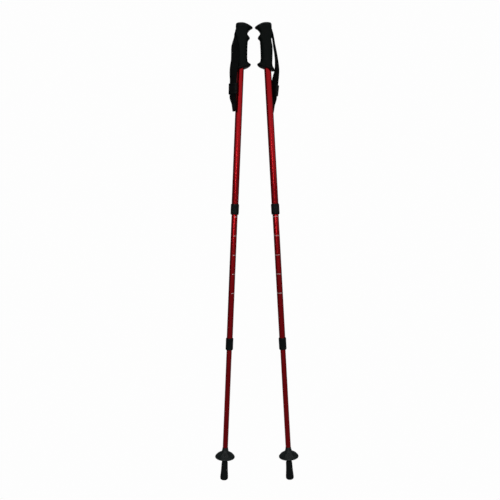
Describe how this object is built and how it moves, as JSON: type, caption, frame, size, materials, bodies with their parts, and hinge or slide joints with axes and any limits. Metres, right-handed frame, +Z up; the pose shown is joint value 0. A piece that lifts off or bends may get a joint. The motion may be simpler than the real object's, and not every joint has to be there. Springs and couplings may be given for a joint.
{
  "type": "trekking poles",
  "caption": "Pair of telescopic trekking poles with twist locks, moulded beaked grips, webbing wrist straps, small domed baskets and rubber feet.",
  "frame": {"origin": "on the ground, midway between the two rubber feet", "axes": "+Z up, +X from the left pole to the right pole, +Y away from the viewer; each pole leans 2.83 degrees towards the other in the XZ plane"},
  "size_m": [0.2236, 0.0526, 1.2003],
  "materials": {
    "red_tube": "glossy red anodised",
    "grip_plastic": "satin moulded, finely grained",
    "cap_plastic": "satin moulded",
    "collar_plastic": "satin moulded with fine ribs",
    "keeper_plastic": "satin moulded",
    "basket_plastic": "matt moulded",
    "ferrule_plastic": "satin moulded",
    "webbing": "woven black webbing",
    "foot_rubber": "matt rubber",
    "lock_nylon": "natural nylon",
    "steel_pin": "bright steel",
    "tip_metal": "dark hard metal"
  },
  "bodies": {
    "left_foot": {"left_rubber_foot": "foot_rubber"},
    "left_lower": {"left_lower_tube": "red_tube", "left_lower_plug": "lock_nylon", "left_lower_spindle": "steel_pin", "left_tip_shaft": "ferrule_plastic", "left_metal_tip": "tip_metal"},
    "left_basket": {"left_basket": "basket_plastic"},
    "left_lower_expander": {"left_lower_expander": "lock_nylon"},
    "left_lower_cone": {"left_lower_cone_nut": "lock_nylon"},
    "left_middle": {"left_middle_tube": "red_tube", "left_lower_collar": "collar_plastic", "left_upper_plug": "lock_nylon", "left_upper_spindle": "steel_pin"},
    "left_upper_expander": {"left_upper_expander": "lock_nylon"},
    "left_upper_cone": {"left_upper_cone_nut": "lock_nylon"},
    "left_upper": {"left_upper_tube": "red_tube", "left_upper_collar": "collar_plastic", "left_grip": "grip_plastic", "left_grip_cap": "cap_plastic", "left_strap_pin": "steel_pin"},
    "left_strap": {"left_wrist_strap": "webbing"},
    "left_keeper": {"left_strap_keeper": "keeper_plastic"},
    "right_foot": {"right_rubber_foot": "foot_rubber"},
    "right_lower": {"right_lower_tube": "red_tube", "right_lower_plug": "lock_nylon", "right_lower_spindle": "steel_pin", "right_tip_shaft": "ferrule_plastic", "right_metal_tip": "tip_metal"},
    "right_basket": {"right_basket": "basket_plastic"},
    "right_lower_expander": {"right_lower_expander": "lock_nylon"},
    "right_lower_cone": {"right_lower_cone_nut": "lock_nylon"},
    "right_middle": {"right_middle_tube": "red_tube", "right_lower_collar": "collar_plastic", "right_upper_plug": "lock_nylon", "right_upper_spindle": "steel_pin"},
    "right_upper_expander": {"right_upper_expander": "lock_nylon"},
    "right_upper_cone": {"right_upper_cone_nut": "lock_nylon"},
    "right_upper": {"right_upper_tube": "red_tube", "right_upper_collar": "collar_plastic", "right_grip": "grip_plastic", "right_grip_cap": "cap_plastic", "right_strap_pin": "steel_pin"},
    "right_strap": {"right_wrist_strap": "webbing"},
    "right_keeper": {"right_strap_keeper": "keeper_plastic"}
  },
  "joints": [
    {"name": "left_foot_pull", "type": "slide", "parent": "left_foot", "child": "left_lower", "axis": [0.0494, 0, 0.9988], "range_m": [0, 0.05]},
    {"name": "left_basket_turn", "type": "hinge", "parent": "left_lower", "child": "left_basket", "pos_m": [-0.08539, 0, 0.06535], "axis": [0.0494, 0, 0.9988], "range_deg": [0, 360]},
    {"name": "left_lower_twist", "type": "hinge", "parent": "left_lower", "child": "left_lower_expander", "pos_m": [-0.06737, 0, 0.42991], "axis": [0.0494, 0, 0.9988], "range_deg": [0, 360]},
    {"name": "left_lower_cone_travel", "type": "slide", "parent": "left_lower_expander", "child": "left_lower_cone", "axis": [0.0494, 0, 0.9988], "range_m": [0, 0.0021]},
    {"name": "left_lower_slide", "type": "slide", "parent": "left_lower_expander", "child": "left_middle", "axis": [0.0494, 0, 0.9988], "range_m": [-0.255, 0]},
    {"name": "left_upper_twist", "type": "hinge", "parent": "left_middle", "child": "left_upper_expander", "pos_m": [-0.04713, 0, 0.83941], "axis": [0.0494, 0, 0.9988], "range_deg": [0, 360]},
    {"name": "left_upper_cone_travel", "type": "slide", "parent": "left_upper_expander", "child": "left_upper_cone", "axis": [0.0494, 0, 0.9988], "range_m": [0, 0.0021]},
    {"name": "left_upper_slide", "type": "slide", "parent": "left_upper_expander", "child": "left_upper", "axis": [0.0494, 0, 0.9988], "range_m": [-0.28, 0]},
    {"name": "left_strap_swing", "type": "hinge", "parent": "left_upper", "child": "left_strap", "pos_m": [-0.04088, 0, 1.17851], "axis": [0, 1, 0], "range_deg": [0, 75]},
    {"name": "left_keeper_slide", "type": "slide", "parent": "left_strap", "child": "left_keeper", "axis": [0.0283, -0.0495, 0.9984], "range_m": [-0.005, 0.005]},
    {"name": "pair_spacing", "type": "slide", "parent": "left_foot", "child": "right_foot", "axis": [1, 0, 0], "range_m": [0, 0.25]},
    {"name": "right_foot_pull", "type": "slide", "parent": "right_foot", "child": "right_lower", "axis": [-0.0494, 0, 0.9988], "range_m": [0, 0.05]},
    {"name": "right_basket_turn", "type": "hinge", "parent": "right_lower", "child": "right_basket", "pos_m": [0.08539, 0, 0.06535], "axis": [-0.0494, 0, 0.9988], "range_deg": [0, 360]},
    {"name": "right_lower_twist", "type": "hinge", "parent": "right_lower", "child": "right_lower_expander", "pos_m": [0.06737, 0, 0.42991], "axis": [-0.0494, 0, 0.9988], "range_deg": [0, 360]},
    {"name": "right_lower_cone_travel", "type": "slide", "parent": "right_lower_expander", "child": "right_lower_cone", "axis": [-0.0494, 0, 0.9988], "range_m": [0, 0.0021]},
    {"name": "right_lower_slide", "type": "slide", "parent": "right_lower_expander", "child": "right_middle", "axis": [-0.0494, 0, 0.9988], "range_m": [-0.255, 0]},
    {"name": "right_upper_twist", "type": "hinge", "parent": "right_middle", "child": "right_upper_expander", "pos_m": [0.04713, 0, 0.83941], "axis": [-0.0494, 0, 0.9988], "range_deg": [0, 360]},
    {"name": "right_upper_cone_travel", "type": "slide", "parent": "right_upper_expander", "child": "right_upper_cone", "axis": [-0.0494, 0, 0.9988], "range_m": [0, 0.0021]},
    {"name": "right_upper_slide", "type": "slide", "parent": "right_upper_expander", "child": "right_upper", "axis": [-0.0494, 0, 0.9988], "range_m": [-0.28, 0]},
    {"name": "right_strap_swing", "type": "hinge", "parent": "right_upper", "child": "right_strap", "pos_m": [0.04088, 0, 1.17851], "axis": [0, -1, 0], "range_deg": [0, 75]},
    {"name": "right_keeper_slide", "type": "slide", "parent": "right_strap", "child": "right_keeper", "axis": [0.109, -0.0611, 0.9922], "range_m": [-0.005, 0.005]}
  ],
  "couplings": [
    {"joint": "left_lower_cone_travel", "follows": "left_lower_twist", "m_per_rad": 0.00031831},
    {"joint": "left_upper_cone_travel", "follows": "left_upper_twist", "m_per_rad": 0.00031831},
    {"joint": "right_lower_cone_travel", "follows": "right_lower_twist", "m_per_rad": 0.00031831},
    {"joint": "right_upper_cone_travel", "follows": "right_upper_twist", "m_per_rad": 0.00031831}
  ]
}
